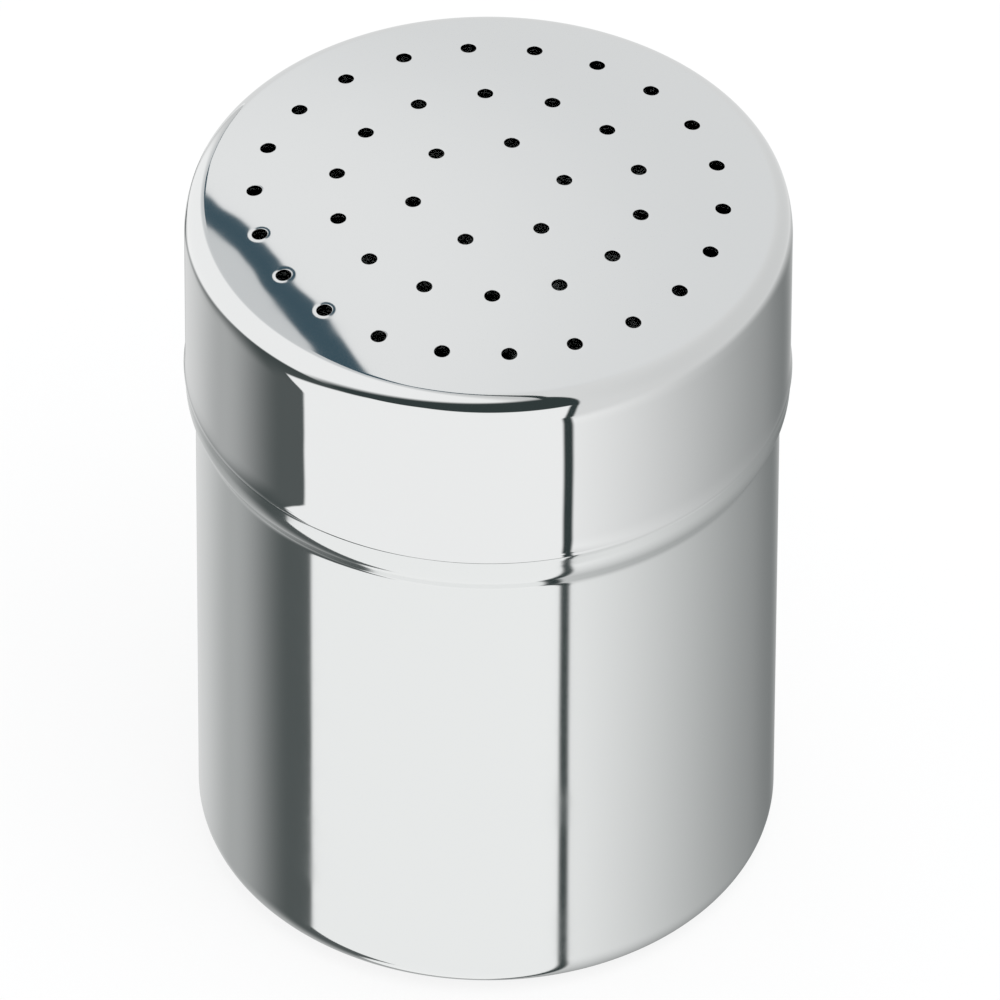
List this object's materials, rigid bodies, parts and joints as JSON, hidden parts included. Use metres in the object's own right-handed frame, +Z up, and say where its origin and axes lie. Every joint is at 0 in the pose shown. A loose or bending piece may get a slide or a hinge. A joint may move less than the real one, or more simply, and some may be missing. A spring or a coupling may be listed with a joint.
{
  "type": "spice shaker",
  "caption": "Polished steel spice shaker: a straight drawn cup with a bead under its neck, and a deep push-on lid whose shallow dome is punched with rings of small pouring holes.",
  "frame": {"origin": "centre of the plane that the cup stands on", "axes": "+Z up along the axis of both pieces, from the foot to the crown of the lid; -Y is the side the picture shows"},
  "size_m": [0.0702, 0.0702, 0.0945],
  "materials": {
    "cup_steel": "mirror-polished stainless steel, outside and inside",
    "lid_steel": "mirror-polished stainless steel, with faint wear on the domed top"
  },
  "bodies": {
    "cup": {"cup": "cup_steel"},
    "lid": {"perforated_lid": "lid_steel"}
  },
  "joints": [
    {"name": "lid_pull_off", "type": "slide", "parent": "cup", "child": "lid", "axis": [0, 0, 1], "range_m": [0, 0.04]}
  ]
}
